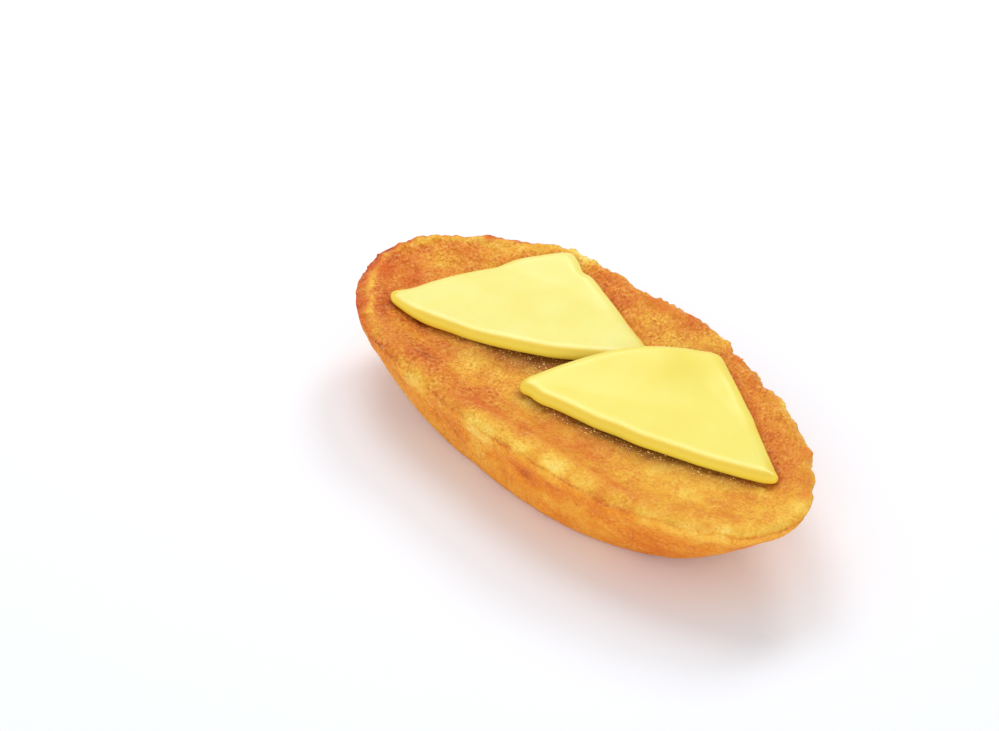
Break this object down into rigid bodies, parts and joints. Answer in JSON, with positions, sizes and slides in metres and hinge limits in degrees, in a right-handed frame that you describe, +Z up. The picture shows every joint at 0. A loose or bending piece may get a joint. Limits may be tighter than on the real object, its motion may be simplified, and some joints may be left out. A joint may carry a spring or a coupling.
{
  "type": "cheese toast",
  "caption": "Toasted half of a long soft roll, cut face up, with soft cheese triangles laid on it, the front one lapping over the rear one.",
  "frame": {"origin": "on the surface that the crust rests on, below the middle of the roll's outline", "axes": "+X along the roll, towards the end that the front cheese slice points at; +Y across it, towards the side that the square corners of the cheese point at; +Z up, out of the cut face"},
  "size_m": [0.1766, 0.0814, 0.0349],
  "materials": {
    "toasted_bread": "golden-brown toasted crumb and crust with a faint buttery sheen, darkest along the torn rim, palest under the near edge",
    "cheese": "pale yellow processed cheese, smooth and softly shiny, a deeper yellow in its rounded edges"
  },
  "bodies": {
    "root": {"bun_half": "toasted_bread", "cheese_rear": "cheese", "cheese_front": "cheese"}
  },
  "joints": []
}
